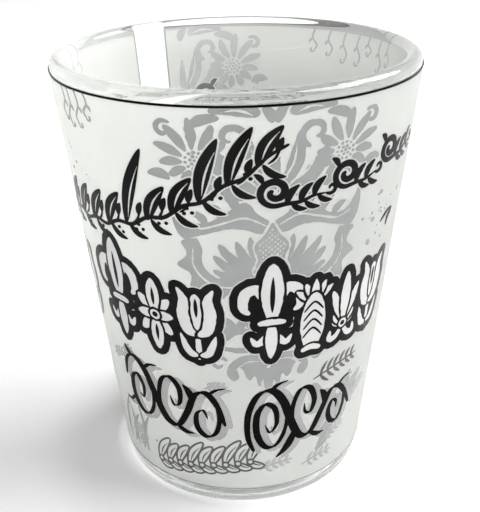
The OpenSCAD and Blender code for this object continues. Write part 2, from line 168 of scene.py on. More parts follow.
def spline(points, n):
    """Catmull-Rom curve through the points, n + 1 places along it."""
    p = np.array([points[0], *points, points[-1]], float)
    m = len(points) - 1
    u = np.linspace(0, m, n + 1)
    i = np.minimum(u.astype(int), m - 1)
    t = (u - i)[:, None]
    a, b, c, d = p[i], p[i + 1], p[i + 2], p[i + 3]
    bend, twist = 2 * a - 5 * b + 4 * c - d, 3 * b - a - 3 * c + d
    return 0.5 * (2 * b + (c - a) * t + bend * t * t + twist * t ** 3)


def beside(at, dx, dz):
    """The point dx and dz mm away from at."""
    return (at[0] + dx / DEG_MM, at[1] + dz)


def way(deg):
    """A step of length 1 in a direction, anticlockwise from the right."""
    return math.cos(math.radians(deg)), math.sin(math.radians(deg))


def leaf(at, direction, size, bow, w, skew=0.85, full=0.8):
    """A stroke from its foot, pointed at both ends and bowed sideways by bow."""
    tx, tz = way(direction)
    pts = [beside(at, tx * size * f - tz * bow * math.sin(math.pi * f),
                  tz * size * f + tx * bow * math.sin(math.pi * f)) for f in (0, 0.25, 0.5, 0.75, 1)]
    return (pts, w, skew, full)


def petal(at, direction, size, bow, w):
    """A leaf with rounder sides."""
    return leaf(at, direction, size, bow, w, 0.9, 0.7)


def curl(at, start, turns, r0, r1, w, skew=0.7, full=0.45):
    """A spiral about at, from radius r0 to r1."""
    m = math.ceil(abs(turns) * 10)
    pts = []
    for k in range(m + 1):
        f = k / m
        cx, cz = way(start + 360 * turns * f)
        r = r0 + (r1 - r0) * f
        pts.append(beside(at, cx * r, cz * r))
    return (pts, w, skew, full)


def line(pts, w, skew=1, full=0.35):
    return (pts, w, skew, full)


def dot(at, d):
    """A round spot."""
    return ([at, beside(at, 0.01, 0)], d, 1, 0)


def moved(s, dx, dz):
    """The stroke moved dx and dz mm."""
    return ([beside(p, dx, dz) for p in s[0]], *s[1:])


def turned(s, deg):
    """The stroke turned round the wall."""
    return ([(p[0] + deg, p[1]) for p in s[0]], *s[1:])


def mirrored(s):
    """The stroke mirrored left to right."""
    return ([(-p[0], p[1]) for p in s[0]], *s[1:])


# ---- Signed distance in mm to the edge of the ink, negative inside, on a grid of the unrolled wall ----

GRID_STEP = 0.07
GRID_S = np.arange(A_LOW * DEG_MM - 1, A_HIGH * DEG_MM + 1, GRID_STEP)
GRID_Z = np.arange(Z_LOW - 0.6, Z_TOP + 0.6, GRID_STEP)
FAR = 3.0
THINNEST_R = 0.04
STEPS_PER_POINT = 9
TINY = 1e-9
# How thin a nib writes along its edge, as a share of its full width
NIB_THIN = 0.3


def blank():
    """A field with no ink."""
    return np.full((len(GRID_Z), len(GRID_S)), FAR, np.float32)


def ink(field, strokes, n=36, reach=1.2, nib=None):
    """Adds strokes to a field. A nib, held at that many degrees, thins what runs along its edge."""
    for pts, w, skew, full in strokes:
        m = max(n, STEPS_PER_POINT * (len(pts) - 1))
        c = spline(pts, m)
        c[:, 0] *= DEG_MM
        u = np.linspace(0, 1, m + 1)
        r = np.full(m + 1, w / 2)
        if full > 0:
            r = np.maximum(THINNEST_R, w / 2 * np.sin(np.pi * np.clip(u ** skew, 0, 1)) ** full)
        if nib:
            run = np.gradient(c, axis=0)
            across = np.stack([-run[:, 1], run[:, 0]], 1) / np.hypot(*run.T)[:, None]
            r *= NIB_THIN + (1 - NIB_THIN) * np.abs(across @ np.array(way(nib)))
        for k in range(m):
            (x0, z0), (x1, z1) = c[k], c[k + 1]
            ra, rb = r[k], r[k + 1]
            pad = max(ra, rb) + reach
            i0, i1 = np.searchsorted(GRID_S, [min(x0, x1) - pad, max(x0, x1) + pad])
            j0, j1 = np.searchsorted(GRID_Z, [min(z0, z1) - pad, max(z0, z1) + pad])
            if i0 >= i1 or j0 >= j1:
                continue
            gx = GRID_S[None, i0:i1] - x0
            gz = GRID_Z[j0:j1, None] - z0
            dx, dz = x1 - x0, z1 - z0
            t = np.clip((gx * dx + gz * dz) / max(dx * dx + dz * dz, TINY), 0, 1)
            d = np.hypot(gx - t * dx, gz - t * dz) - (ra + (rb - ra) * t)
            part = field[j0:j1, i0:i1]
            np.minimum(part, d, out=part)
    return field


def polygon_field(pts, reach=1.6):
    """Signed distance to one closed outline, on its own window of the grid."""
    p = np.array(pts, float)
    p[:, 0] *= DEG_MM
    i0, i1 = np.searchsorted(GRID_S, [p[:, 0].min() - reach, p[:, 0].max() + reach])
    j0, j1 = np.searchsorted(GRID_Z, [p[:, 1].min() - reach, p[:, 1].max() + reach])
    gx = GRID_S[None, i0:i1]
    gz = GRID_Z[j0:j1, None]
    d = np.full((j1 - j0, i1 - i0), 99.0)
    inside = np.zeros(d.shape, bool)
    for (x0, z0), (x1, z1) in zip(p, np.roll(p, -1, 0)):
        dx, dz = x1 - x0, z1 - z0
        t = np.clip(((gx - x0) * dx + (gz - z0) * dz) / max(dx * dx + dz * dz, TINY), 0, 1)
        d = np.minimum(d, np.hypot(gx - x0 - t * dx, gz - z0 - t * dz))
        if z0 != z1:
            inside ^= ((gz >= min(z0, z1)) & (gz < max(z0, z1)) & (gx < x0 + (gz - z0) * dx / dz))
    return (slice(j0, j1), slice(i0, i1)), np.where(inside, -d, d).astype(np.float32)


def stroke_window(stroke, n=30, reach=1.4, bow_room=0.6):
    """Signed distance to one stroke, on its own window of the grid."""
    p = np.array(stroke[0], float)
    pad = stroke[1] / 2 + reach + bow_room
    i0, i1 = np.searchsorted(GRID_S, [p[:, 0].min() * DEG_MM - pad, p[:, 0].max() * DEG_MM + pad])
    j0, j1 = np.searchsorted(GRID_Z, [p[:, 1].min() - pad, p[:, 1].max() + pad])
    field = blank()
    ink(field, [stroke], n, reach)
    window = (slice(j0, j1), slice(i0, i1))
    return window, field[window]


# How far round the front's ornaments stand again: at the back, and cut short by the seam
BACK, SEAM = 142, -127


def turns(strokes, *angles):
    """The strokes once for each angle round."""
    return [turned(s, t) for t in angles for s in strokes]


def scroll(at, r_in, r_out, rounds, end, then, w):
    """A spiral from its eye outwards, anticlockwise, that runs on through the points in then."""
    m = math.ceil(rounds * 12)
    pts = []
    for k in range(m + 1):
        f = k / m
        cx, cz = way(end - 360 * rounds * (1 - f))
        r = r_in + (r_out - r_in) * f ** 0.8
        pts.append(beside(at, cx * r, cz * r))
    return (pts + then, w, 0.75, 0.4)


# ---- The rising vine ----

VINE_START, VINE_STEP, VINE_LEAVES = -70, 8.4, 10
# Length and slant of an upright leaf, and of the few tall ones
VINE_LEAF = (5.2, 62)
VINE_TALL = {4: (10.6, 72), 7: (8.0, 74), 8: (7.4, 70)}


def vine_at(a):
    """The stem's path: level at the left, rising faster towards the right."""
    return (a, 42.3 + 0.0022 * max(0, a + 62) ** 2)


def vine():
    """The vine's strokes and the veins left open in its leaves."""
    inked, open_veins = [], []
    for k in range(VINE_LEAVES):
        foot = vine_at(VINE_START + VINE_STEP * k)
        size, slant = VINE_TALL.get(k, VINE_LEAF)
        inked.append(leaf(foot, slant, size, 0.4, 1.7, 0.9, 0.75))
        open_veins.append(leaf(beside(foot, 0.4, 0.75), slant, size * 0.7, 0.28, 0.24))
        inked.append(petal(beside(foot, 0.5, 0.1), -34, 2.9, -0.45, 0.85))
        bud = beside(foot, 2.2, 1.9)
        inked.append(line([beside(foot, 1.0, 0.2), beside(foot, 1.7, 0.8), bud], 0.3))
        inked.append(petal(beside(bud, -0.2, -0.35), 74, 1.7, 0.1, 0.8))
        for dx, dz in ((-1.3, -0.95), (-0.75, -1.5), (-1.65, -1.65)):
            inked.append(dot(beside(foot, dx, dz), 0.45))
    path = [vine_at(a) for a in range(-76, 16, 6)]
    inked.append(line([(a, z + 0.28 * (-1) ** i) for i, (a, z) in enumerate(path)], 0.5, 1, 0.12))
    return inked, open_veins


# ---- Scrolled sprays to the right of the vine ----

def spray(at, leaves, r):
    """A scroll of radius r about at, running on into a short leafy stem."""
    foot = beside(at, 0, -r)
    run = [beside(foot, 1.35 + 1.5 * i, 0.06 + 0.3 * i + 0.12 * (-1) ** i) for i in range(leaves + 1)]
    s = [scroll(at, 0.3, r, 1.35, 272, run, 0.85)]
    for i in range(leaves):
        root = run[i]
        s.append(petal(root, 60, r * 1.45, 0.35, 0.9))
        s.append(petal(beside(root, 0.5, 0), -28, r * 1.15, -0.3, 0.7))
    s.append(curl(beside(run[-1], 0.55, 0.5), 225, 0.9, 0.75, 0.2, 0.5, 0.6, 0.4))
    s.append(petal(beside(at, -r * 0.75, r * 0.7), 128, r * 0.8, -0.2, 0.7))
    return s


# ---- The band of bold white ornaments on black. Each gives its white parts, from the back one to the
# front one, and its black veins, from its foot, half width and height. ----

def fleur(at, w, h):
    """A lily: three petals held by a band."""
    def p(x, z):
        return beside(at, x * w, z * h)
    parts = []
    for m in (-1, 1):
        high = [p(0.05 * m, 0.40), p(0.14 * m, 0.56), p(0.46 * m, 0.74), p(0.86 * m, 0.70),
                p(0.93 * m, 0.56), p(0.72 * m, 0.50)]
        low = [p(0.04 * m, 0.40), p(0.16 * m, 0.26), p(0.48 * m, 0.17), p(0.70 * m, 0.25)]
        parts += [line(high, 1.75, 1.0, 0.42), line(low, 1.25, 1.0, 0.42)]
    parts.append(([p(0, 0.44), p(0, 0.30), p(0, 0.14), p(0, 0.0)], 1.9, 1.1, 0.7))
    parts.append(([p(0, 0.36), p(0, 0.58), p(0, 0.80), p(0, 1.0)], 3.1, 1.05, 0.75))
    parts.append(([p(-0.40, 0.39), p(0, 0.40), p(0.40, 0.39)], 1.25, 1, 0.12))
    return parts, [([p(0, 0.50), p(0, 0.66), p(0, 0.86)], 0.62, 1, 0.8)]


def rosette(at, w, h):
    """Eight petals round a button."""
    middle = beside(at, 0, h / 2)
    parts = [leaf(middle, a, w * 1.35, 0, 1.7, 1.25, 0.6) for a in (50, 130, 230, 310)]
    parts += [leaf(middle, a, h * 0.5, 0, 2.2, 1.15, 0.6) for a in (90, 270)]
    parts += [leaf(middle, a, w, 0, 1.7, 1.0, 0.6) for a in (0, 180)] + [dot(middle, 1.8)]
    veins = [leaf(beside(middle, 0, m * 1.5), 90 * m, h * 0.24, 0, 0.5) for m in (-1, 1)]
    return parts, veins + [dot(middle, 0.8)]


def tulip(at, w, h):
    """A cup of three petals over two low leaves."""
    def p(x, z):
        return beside(at, x * w, z * h)
    parts = [([p(0, 0.42), p(0, 0.2), p(0, 0.0)], 1.1, 1, 0.15)]
    for m in (-1, 1):
        parts.append(([p(0.05 * m, 0.04), p(0.55 * m, 0.10), p(0.95 * m, 0.36)], 1.35, 1.0, 0.6))
    parts.append(([p(0, 0.36), p(0, 0.62), p(0, 0.92)], 2.5, 1.0, 0.6))
    for m in (-1, 1):
        cup = [p(0, 0.34), p(0.50 * m, 0.42), p(0.70 * m, 0.64), p(0.62 * m, 0.84), p(0.92 * m, 1.0)]
        parts.append(line(cup, 1.9, 0.85, 0.55))
    return parts, [([p(0, 0.60), p(0, 0.86)], 0.5, 1, 0.8)]


def finial(at, w, h):
    """An upright bud with a netted body and a crown of small leaves."""
    def p(x, z):
        return beside(at, x * w, z * h)
    parts = [leaf(p(0, 0.70), a, h * 0.30, 0, 1.3, 1.0, 0.6) for a in (38, 142, 64, 116)]
    parts.append(leaf(p(0, 0.68), 90, h * 0.33, 0, 1.4, 1.0, 0.6))
    parts.append(([p(0, 0.06), p(0, 0.30), p(0, 0.56), p(0, 0.80)], 3.9, 0.95, 0.55))
    parts.append(([p(-0.55, 0.04), p(0, 0.07), p(0.55, 0.04)], 1.2, 1, 0.12))
    net = [([p(-0.62, z), p(0, z + 0.12), p(0.62, z)], 0.3, 1, 0.2) for z in (0.22, 0.34, 0.46, 0.58)]
    return parts, net


def palmette(at, w, h):
    """A fan of pointed leaves over two feet."""
    root = beside(at, 0, h * 0.26)
    parts = []
    for a, long in ((22, 0.74), (158, 0.74), (45, 0.92), (135, 0.92), (68, 0.86), (112, 0.86)):
        cx, cz = way(a)
        reach = long * (w if abs(cx) > 0.6 else h * 0.66)
        parts.append(leaf(root, a, reach, 0, 1.6, 1.15, 0.6))
    parts.append(leaf(root, 90, h * 0.74, 0, 1.9, 1.1, 0.6))
    for m in (-1, 1):
        parts.append(([root, beside(at, m * w * 0.35, h * 0.10), beside(at, m * w * 0.8, h * 0.08),
                       beside(at, m * w * 0.78, h * 0.2)], 1.2, 1.0, 0.35))
    parts.append(dot(root, 1.7))
    return parts, [dot(root, 0.7)]


# (degrees round, foot, half width, height, ornament)
BAND = ((-46.5, 25.9, 3.5, 14.7, fleur), (-30.2, 25.9, 2.55, 10.6, rosette), (-14.6, 25.5, 2.5, 10.6, tulip),
        (10.6, 25.5, 3.8, 14.2, fleur), (25.6, 25.5, 2.2, 10.9, finial), (38.9, 25.6, 2.6, 10.6, palmette),
        (53.6, 25.8, 2.4, 10.4, tulip))
# Width of the black round the band, and half the width of the pen lines between its parts
BAND_OUTLINE, BAND_PEN = 0.82, 0.16
CORE_GAP = 0.02


def bold_band(places):
    """The white fills, the black ground with its pen lines, and the black cores."""
    white, pen, cores = blank(), blank(), blank()
    for mid, foot, w, h, ornament in places:
        parts, veins = ornament((mid, foot), w, h)
        for part in parts:
            window, one = stroke_window(part)
            old = pen[window]
            np.maximum(old, -one, out=old)
            np.minimum(old, np.abs(one) - BAND_PEN, out=old)
            np.minimum(white[window], one, out=white[window])
        ink(cores, veins, 16)
    ground = np.minimum(np.maximum(white - BAND_OUTLINE, -white), pen)
    return white, ground, np.maximum(cores, CORE_GAP - ground)


# ---- Pen flourishes: a waving stem with a curl in each bend, written with a nib held at NIB degrees ----

NIB = 18


def stem(*points):
    return line(points, 1.3, 1.0, 0.3)


def heavy_curl(*points):
    return line(points, 1.05, 0.8, 0.6)


def light_curl(*points):
    return line(points, 0.95, 0.8, 0.6)


def flourish_left():
    return [stem((-52.6, 18.4), (-50.4, 21.4), (-45.4, 22.6), (-40.0, 21.0), (-35.8, 17.2), (-31.6, 13.9),
                 (-26.4, 13.4), (-21.8, 16.0), (-18.0, 19.2), (-13.4, 19.8), (-9.4, 17.8), (-6.6, 14.4)),
            heavy_curl((-37.4, 18.6), (-37.6, 15.6), (-40.6, 13.5), (-45.4, 13.3), (-49.0, 15.4),
                       (-48.6, 18.4), (-45.0, 19.6), (-42.2, 18.0), (-43.0, 16.0), (-45.2, 16.4)),
            light_curl((-32.4, 14.4), (-34.0, 17.4), (-31.8, 20.6), (-27.6, 21.4), (-24.2, 19.8),
                       (-24.6, 17.4), (-27.2, 16.8), (-28.6, 18.2)),
            light_curl((-10.0, 18.4), (-8.8, 15.4), (-10.6, 13.0), (-14.6, 12.3), (-18.0, 13.8),
                       (-17.8, 16.0), (-15.0, 16.8), (-13.4, 15.4)),
            petal((-50.0, 15.0), 205, 2.6, 0.5, 1.1), petal((-40.4, 21.2), 28, 3.0, 0.4, 1.1),
            petal((-27.0, 13.4), -18, 3.0, -0.4, 1.1), petal((-19.6, 18.0), 112, 2.9, -0.4, 1.1),
            petal((-45.4, 22.4), 138, 2.2, 0.3, 0.9), petal((-12.6, 19.6), 26, 2.8, 0.3, 1.0)]


def flourish_right():
    return [stem((4.6, 9.8), (2.2, 12.4), (2.4, 16.4), (6.0, 19.6), (11.4, 20.2), (16.2, 18.0), (19.8, 14.2),
                 (24.0, 11.4), (29.2, 11.6), (33.4, 14.6), (37.2, 17.4), (41.8, 17.6), (46.2, 15.8),
                 (50.2, 13.2)),
            heavy_curl((17.6, 16.8), (17.4, 13.4), (14.0, 10.7), (9.2, 10.5), (5.8, 12.9), (5.8, 16.2),
                       (9.0, 18.0), (12.8, 17.0), (13.6, 14.4), (11.0, 13.0), (9.0, 14.4)),
            light_curl((20.6, 13.6), (20.0, 16.8), (22.6, 19.4), (26.8, 19.4), (29.4, 17.2), (28.2, 15.2),
                       (25.6, 15.4), (25.0, 16.9)),
            light_curl((45.4, 16.4), (46.0, 13.6), (43.2, 11.5), (39.2, 11.9), (37.4, 13.7), (38.8, 15.4),
                       (41.4, 15.0), (41.6, 13.8)),
            petal((21.6, 12.8), -122, 5.4, 0.5, 1.6), petal((10.6, 20.0), 30, 3.0, 0.4, 1.1),
            petal((28.6, 11.4), -16, 3.0, -0.4, 1.1), petal((34.6, 15.6), 110, 2.9, -0.4, 1.1),
            petal((41.0, 17.6), 24, 2.8, 0.3, 1.0)]


# ---- The damask, drawn on one side of an axis: degrees off the axis, and mm up ----

def mass(points, axis, side):
    """A closed smooth outline on one side of an axis."""
    ring = spline([*points, points[0]], 8 * len(points))[:-1]
    return [(axis + side * a, z) for a, z in ring]


WING = [(0.9, 45.4), (4.2, 46.3), (7.6, 47.9), (11.4, 47.2), (15.6, 46.0), (20.0, 45.2), (24.2, 45.4),
        (27.0, 46.8), (28.4, 48.1), (29.6, 46.3), (28.9, 44.3), (26.4, 43.0), (23.4, 43.3), (18.6, 43.9),
        (13.2, 44.5), (8.2, 44.4), (4.0, 43.8), (1.4, 44.0)]
OUTER_AT = (13.6, 40.5)
# Radii of the outer leaf: inner edge, open vein, notches and tips, and how much the ends shrink
INNER_R, VEIN_R, NOTCH_R, TIP_R, END_SHRINK = 2.9, 4.0, 5.0, 6.3, 0.16


def round_at(at, deg, r):
    """The point at radius r and angle deg about at."""
    cx, cz = way(deg)
    return beside(at, cx * r, cz * r)


def crescent(at, start, end, lobes):
    """A scalloped leaf bent round a clear middle."""
    out, back = [], []
    for k in range(2 * lobes + 1):
        deg = start + (end - start) * k / (2 * lobes)
        r = (TIP_R if k % 2 else NOTCH_R) * (1 - END_SHRINK * abs(k / lobes - 1))
        out.append(round_at(at, deg, r))
        back.append(round_at(at, deg, INNER_R))
    return out + back[::-1][1:-1]


OUTER = crescent(OUTER_AT, 40, -132, 5)
LOWER = [(1.0, 36.4), (4.6, 37.4), (8.6, 36.2), (7.6, 34.9), (10.6, 33.9), (8.6, 32.7), (10.8, 31.3),
         (7.8, 30.8), (6.2, 29.3), (4.6, 31.0), (2.4, 32.4), (0.8, 34.0)]
FOOT = [(0.8, 25.5), (4.6, 26.3), (9.8, 26.1), (13.6, 25.0), (15.0, 23.4), (13.0, 22.2), (10.6, 22.8),
        (11.6, 24.0), (9.6, 24.2), (7.2, 22.3), (5.0, 22.9), (3.4, 21.2), (1.8, 22.4), (0.7, 20.4)]
MASSES = [WING, OUTER, LOWER, FOOT]


def damask_half():
    """Leaves and curls that stand free of the masses."""
    s = [leaf((4.6, 58.4), 4, 4.6, 0.7, 2.0, 0.8, 0.7), leaf((0.8, 57.4), 62, 2.0, 0.3, 1.1),
         leaf((1.4, 49.0), 74, 7.6, -0.7, 1.7, 1.0, 0.75), leaf((3.4, 48.9), 50, 7.0, -0.9, 1.9, 1.0, 0.75),
         leaf((5.0, 48.7), 24, 4.6, -0.6, 1.6, 1.0, 0.75), leaf((0.4, 49.2), 88, 5.2, 0.0, 0.9),
         curl((11.6, 55.8), 250, -0.95, 1.7, 0.45, 0.8), petal((14.6, 58.0), -24, 3.4, 0.5, 1.2),
         curl((29.6, 56.6), 130, -0.9, 1.0, 0.35, 0.6), petal((12.2, 49.6), -12, 3.0, 0.4, 1.3),
         petal((29.2, 50.6), 10, 2.4, 0.4, 1.2)]
    s += [petal((10.4, 46.8), 58, 2.4, 0.3, 1.1), petal((14.8, 45.8), 50, 2.4, 0.3, 1.1),
          petal((19.4, 45.0), 46, 2.1, 0.3, 1.0), leaf((4.4, 38.2), 8, 5.0, -0.8, 1.15, 1.2, 0.6),
          leaf((4.4, 38.5), 26, 5.4, -0.8, 1.2, 1.2, 0.6), leaf((4.2, 38.6), 42, 5.8, -0.6, 1.2, 1.2, 0.6),
          leaf((4.0, 38.9), 58, 4.6, -0.4, 1.1, 1.2, 0.6), leaf((3.8, 39.3), 76, 4.2, -0.2, 0.9, 1.2, 0.6)]
    s += [petal((12.4, 29.6), a, 2.5, 0.2, 1.25) for a in (-30, 20, 70, 118)]
    s += [petal((1.6, 28.6), 20, 4.0, 0.5, 1.1), leaf((3.4, 27.2), 4, 5.6, -0.3, 0.8, 0.9, 0.6),
          curl((17.6, 24.9), 150, -0.9, 1.15, 0.35, 0.62), leaf((0.2, 24.0), -86, 3.4, 0, 1.0)]
    return s


# Lines left open in the masses and the leaves
DAMASK_VEINS = [line([(2.0, 44.8), (8.0, 45.9), (14.0, 45.3), (21.0, 44.5), (26.4, 45.2)], 0.3, 1, 0.25),
                line([round_at(OUTER_AT, t, VEIN_R) for t in (20, -15, -50, -85, -112)], 0.26, 1, 0.25),
                line([(2.4, 35.9), (4.6, 34.2), (6.0, 31.6)], 0.28, 1, 0.25),
                line([(2.0, 25.2), (7.6, 25.2), (12.2, 23.9)], 0.26, 1, 0.25),
                leaf((2.2, 50.2), 73, 5.0, -0.5, 0.26), leaf((4.6, 50.1), 50, 4.4, -0.6, 0.28),
                leaf((5.8, 58.3), 6, 3.0, 0.4, 0.28)]


def daisy(at=(21.4, 53.0), petals=12, lean=66):
    """A flower with a dotted heart. Its longest petals point towards lean."""
    s = []
    for k in range(petals):
        a = -70 + 360 / petals * k
        long = 1.9 + 1.7 * max(0, math.cos(math.radians(a - lean)))
        s.append(leaf(round_at(at, a, 1.4), a + 5, long, 0.15, 1.1, 1.1, 0.6))
    for ring, count in ((0.0, 1), (0.5, 6), (1.0, 11)):
        s += [dot(round_at(at, 360 * k / count + 20 * ring, ring), 0.36) for k in range(count)]
    return s


def bud(field, axis, pitch=0.66, line_r=0.1, edge_r=0.16, gap=0.42):
    """A pointed bud filled with a crosshatch, with a clear line round it."""
    half = [(0, 45.0), (2.2, 43.4), (4.8, 42.2), (3.8, 40.2), (5.0, 38.6), (2.4, 37.6), (0, 36.3)]
    ring = [(axis + a, z) for a, z in half] + [(axis - a, z) for a, z in half[-2:0:-1]]
    fine = spline(ring + [ring[0]], 90)[:-1]
    at, d = polygon_field([tuple(p) for p in fine])
    gx = (GRID_S[at[1]] - axis * DEG_MM)[None, :]
    gz = GRID_Z[at[0]][:, None]
    hatch = np.minimum(*(np.abs(way_on % pitch - pitch / 2) for way_on in (gx + gz, gx - gz)))
    hatch = hatch / math.sqrt(2) - line_r
    shape = np.minimum(np.maximum(d, hatch), np.abs(d) - edge_r)
    part = field[at]
    np.maximum(part, gap - d, out=part)
    np.minimum(part, shape, out=part)


def fallen_leaves():
    """Large grey leaves low on the right, and tall thin ones low on the left."""
    s = [petal((38 + 3.6 * k, 12.5 + 1.1 * k), 250 - 26 * k, 5.4 - 0.5 * k, 0.9, 2.3 - 0.2 * k)
         for k in range(4)]
    s += [petal((47 + 2.2 * k, 14.6 - 0.4 * k), 84 - 30 * k, 4.6, 0.7, 1.9) for k in range(3)]
    s += [leaf((-61 + 3.6 * k, 5.2), 78 + 9 * (k % 2), 8.6 - 1.1 * (k % 3), 0.9 * (-1) ** k, 0.75, 0.9, 0.6)
          for k in range(5)]
    return s


def damask(axes):
    """The whole damask on each (axis, sides)."""
    field = blank()
    for axis, sides in axes:
        for side in sides:
            for one in MASSES:
                window, d = polygon_field(mass(one, axis, side))
                np.minimum(field[window], d, out=field[window])
            leaves, veins = ([turned(mirrored(s) if side < 0 else s, axis) for s in strokes]
                             for strokes in (damask_half() + daisy(), DAMASK_VEINS))
            ink(field, leaves)
            np.maximum(field, -ink(blank(), veins, 16), out=field)
        bud(field, axis)
    ink(field, fallen_leaves())
    return field


# ---- Small things ----

# (foot, direction, size)
SPRIG_PLACES = [((-61, 20.4), 24, 4), ((-52, 21.8), 40, 3), ((7, 6.2), 12, 5.4), ((26, 5.6), 6, 6),
                ((-58, 7.4), 24, 4.6), ((-52, 5.6), 50, 3.6), ((36, 8.6), 20, 5), ((-14, 20.6), 8, 3.4),
                ((-104, 50), 35, 7), ((-96, 20), 20, 7), ((-124, 34), 60, 7), ((-88, 33), 40, 6),
                ((96, 50), 30, 6), ((84, 22), 20, 6)]
# Degrees round
TENDRIL_PLACES = (-59, -55.5, -51, -46.5, 108, 114, 121, 127, 134, 141, 148, -104, -97)


def sprig(at, direction, size, w=0.3, pairs=4):
    """A thin stem with pairs of small leaves."""
    tx, tz = way(direction)
    s = [leaf(at, direction, size, 0.35, w, 1, 0.3)]
    for i in range(1, pairs + 1):
        f = i / (pairs + 1)
        bend = 0.35 * math.sin(math.pi * f)
        root = beside(at, tx * size * f - tz * bend, tz * size * f + tx * bend)
        for side in (-1, 1):
            s.append(petal(root, direction + 52 * side, size * 0.24 * (1.2 - f * 0.5), 0.15 * side, 0.5))
    return s


def tendril(rng, a):
    """A thin shoot that hangs from the top line and ends in a small curl."""
    long = 2.4 + 2.2 * rng.random()
    foot = (a, Z_TOP - long)
    path = [(a, Z_TOP + 0.2), (a + 1.2, Z_TOP - long * 0.4), (a - 0.8, Z_TOP - long * 0.75), foot]
    return [line(path, 0.3, 1, 0.1), curl(beside(foot, 0.42, 0), 180, 0.8, 0.42, 0.12, 0.3),
            leaf((a + 1, Z_TOP - long * 0.45), -50, 0.95, 0.1, 0.4)]


def spatter(rng, clusters):
    """Drops scattered about each cluster's middle."""
    s = []
    for a, z, spread_a, spread_z, count, biggest in clusters:
        for _ in range(count):
            d = biggest * (0.25 + 0.75 * rng.random() ** 3)
            s.append(dot((a + spread_a * rng.normal(), z + spread_z * rng.normal()), d))
    return s


def garland():
    """Leaves in outline along a slanting row, each drawn over the one before, with a vein."""
    field = blank()

    def outlined(stroke, vein, pen=0.15):
        window, d = stroke_window(stroke)
        part = field[window]
        np.maximum(part, -d, out=part)
        np.minimum(part, np.abs(d) - pen, out=part)
        if vein:
            ink(field, [vein], 12)

    for k in range(9):
        foot = (-39 + 5.2 * k, 5.6 + 0.3 * k)
        long = 4.0 if k % 3 else 5.0
        outlined(leaf(foot, -24, 2.5, -0.3, 1.25, 1.0, 0.6),
                 leaf(beside(foot, 0.5, -0.2), -24, 1.5, -0.2, 0.2))
        outlined(leaf(foot, 60, long, 0.35, 1.5, 1.0, 0.6),
                 leaf(beside(foot, 0.3, 0.6), 60, long * 0.62, 0.24, 0.22))
        outlined(dot(beside(foot, 0.2, -0.1), 0.95), None)
    return field


def clip(field):
    """Keeps ink on the printed area."""
    gx = GRID_S[None, :]
    gz = GRID_Z[:, None]
    across = np.maximum(A_LOW * DEG_MM - gx, gx - A_HIGH * DEG_MM)
    box = np.maximum(across, np.maximum(Z_LOW - gz, gz - Z_TOP))
    return np.maximum(field, box.astype(np.float32))


def rough(field, seed):
    """The field with slightly uneven edges, as a hand-cut screen gives."""
    rng = np.random.default_rng(seed)
    step = int(ROUGH_SIZE / GRID_STEP)
    small = rng.normal(size=(len(GRID_Z) // step + 3, len(GRID_S) // step + 3))
    zi = np.arange(len(GRID_Z)) / step
    ai = np.arange(len(GRID_S)) / step
    z0, a0 = zi.astype(int), ai.astype(int)
    tz = (zi - z0)[:, None]
    ta = (ai - a0)[None, :]
    tz, ta = tz * tz * (3 - 2 * tz), ta * ta * (3 - 2 * ta)
    n = ((small[z0][:, a0] * (1 - ta) + small[z0][:, a0 + 1] * ta) * (1 - tz)
         + (small[z0 + 1][:, a0] * (1 - ta) + small[z0 + 1][:, a0 + 1] * ta) * tz)
    return field + (ROUGH_HEIGHT * n).astype(np.float32)


# (degrees round, z, spread round, spread up, drops, widest drop)
SPATTER = ((50, 43, 7, 2.0, 26, 0.8), (-62, 50, 4, 2, 8, 0.5), (120, 46, 14, 4, 30, 0.7),
           (-100, 44, 14, 6, 26, 0.7), (38, 10, 8, 2, 12, 0.5), (-52, 9, 6, 2, 10, 0.5),
           (176, 51, 5, 1.0, 8, 0.8))


# ---- All the print's layers ----

# Clear gaps in mm from black to shadow, thin grey and damask, and from shadow to damask. The white spreads.
SHADOW_GAP, THIN_GAP, DAMASK_GAP, DAMASK_SHADOW_GAP, FILL_SPREAD = 0.06, 0.08, 0.2, 0.05, 0.1
# How much wider a shadow is than its stroke, and how far it is moved
SHADOW_WIDER, SHADOW_DX, SHADOW_DZ = 0.5, 0.85, -0.3
# Size and height of an edge's unevenness
ROUGH_SIZE, ROUGH_HEIGHT = 0.5, 0.03
# (axis, sides): a whole damask in front, and one half that ends at the seam
DAMASKS = ((10, (-1, 1)), (203, (-1,)))
BACK_SPRAYS_DZ = -2.4


